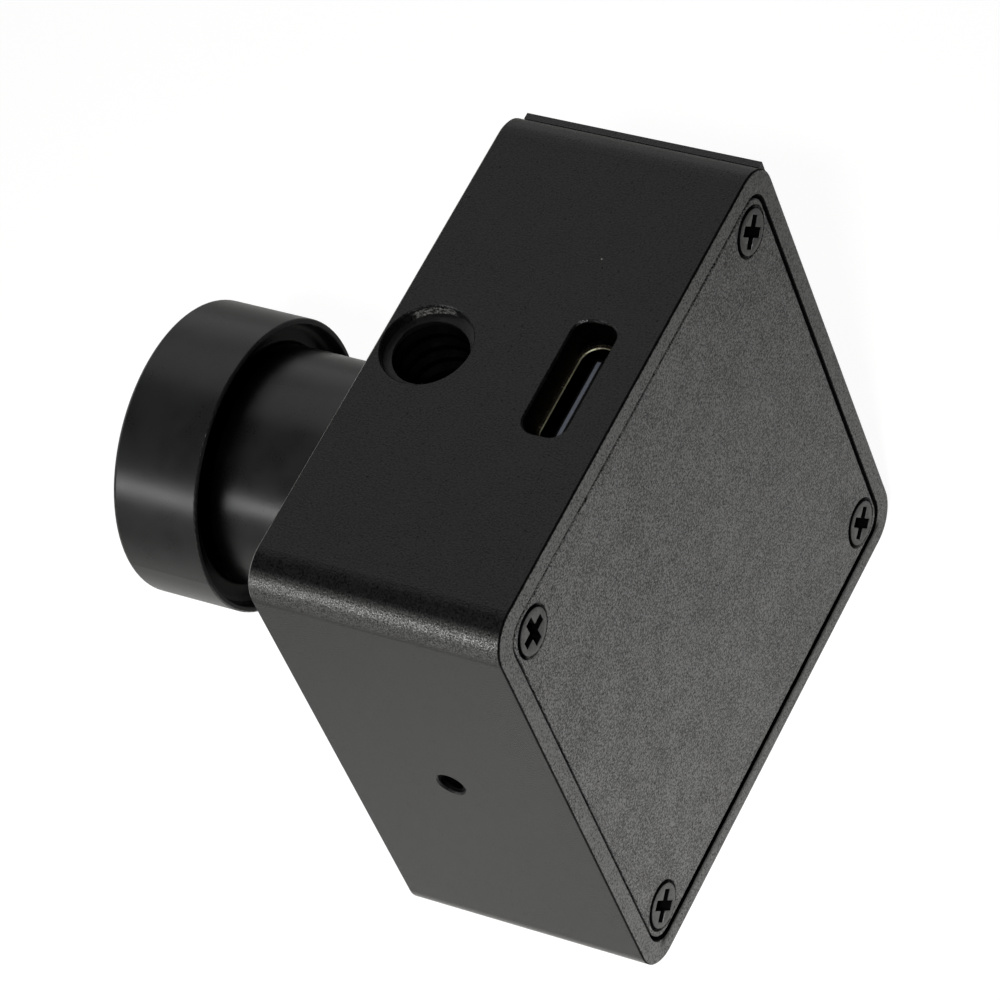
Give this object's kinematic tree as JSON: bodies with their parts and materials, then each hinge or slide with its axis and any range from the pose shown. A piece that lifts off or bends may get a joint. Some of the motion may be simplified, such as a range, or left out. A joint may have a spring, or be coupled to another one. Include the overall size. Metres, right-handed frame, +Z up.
{
  "type": "camera module",
  "caption": "Small square box camera with a screw-in lens, a tripod thread and a type C port in its top face, and a flat screwed back cover.",
  "frame": {"origin": "middle of the bottom face of the case", "axes": "+Z up, out of the face with the tripod thread and the port; the lens looks along -Y; +X to the side with the set screw"},
  "size_m": [0.0405, 0.0405, 0.04],
  "materials": {
    "case_anodised": "finely blasted and anodised black",
    "cover_anodised": "blasted and anodised dark grey",
    "plate_anodised": "anodised black",
    "lens_anodised": "turned, satin black",
    "ring_black": "matte black",
    "spacer_brass": "blackened",
    "screw_black": "black oxide",
    "optical_glass": "coated",
    "filter_glass": "coated",
    "board_laminate": "solder mask",
    "foam": "open foam",
    "sensor_ceramic": "ceramic",
    "port_metal": "plated",
    "port_plastic": "moulded",
    "contact_gold": "gold plated",
    "chip_black": "moulded",
    "crystal_can": "plated",
    "inductor_grey": "pressed",
    "capacitor_tan": "ceramic",
    "resistor_black": "film"
  },
  "bodies": {
    "case": {"case_body": "case_anodised", "back_cover": "cover_anodised", "cover_screws": "screw_black", "side_plate": "plate_anodised", "lens_set_screw": "screw_black", "main_board": "board_laminate", "board_screws": "screw_black", "sensor_gasket": "foam", "image_sensor": "sensor_ceramic", "sensor_cover_glass": "optical_glass", "port_shell": "port_metal", "port_tongue": "port_plastic", "port_contacts": "contact_gold", "video_processor": "chip_black", "memory_chip": "chip_black", "clock_crystal": "crystal_can", "power_inductors": "inductor_grey", "voltage_regulators": "chip_black", "capacitors": "capacitor_tan", "resistors": "resistor_black"},
    "lens": {"lens_barrel": "lens_anodised", "front_retaining_ring": "ring_black", "front_lens_element": "optical_glass", "inner_retaining_ring": "ring_black", "second_lens_element": "optical_glass", "middle_spacer": "spacer_brass", "aperture_stop": "spacer_brass", "third_lens_element": "optical_glass", "rear_spacer": "spacer_brass", "rear_lens_element": "optical_glass", "infrared_filter": "filter_glass"}
  },
  "joints": [
    {"name": "lens_focus", "type": "hinge", "parent": "case", "child": "lens", "pos_m": [0, 0, 0.02], "axis": [0, -1, 0], "range_deg": [-180, 540]}
  ]
}
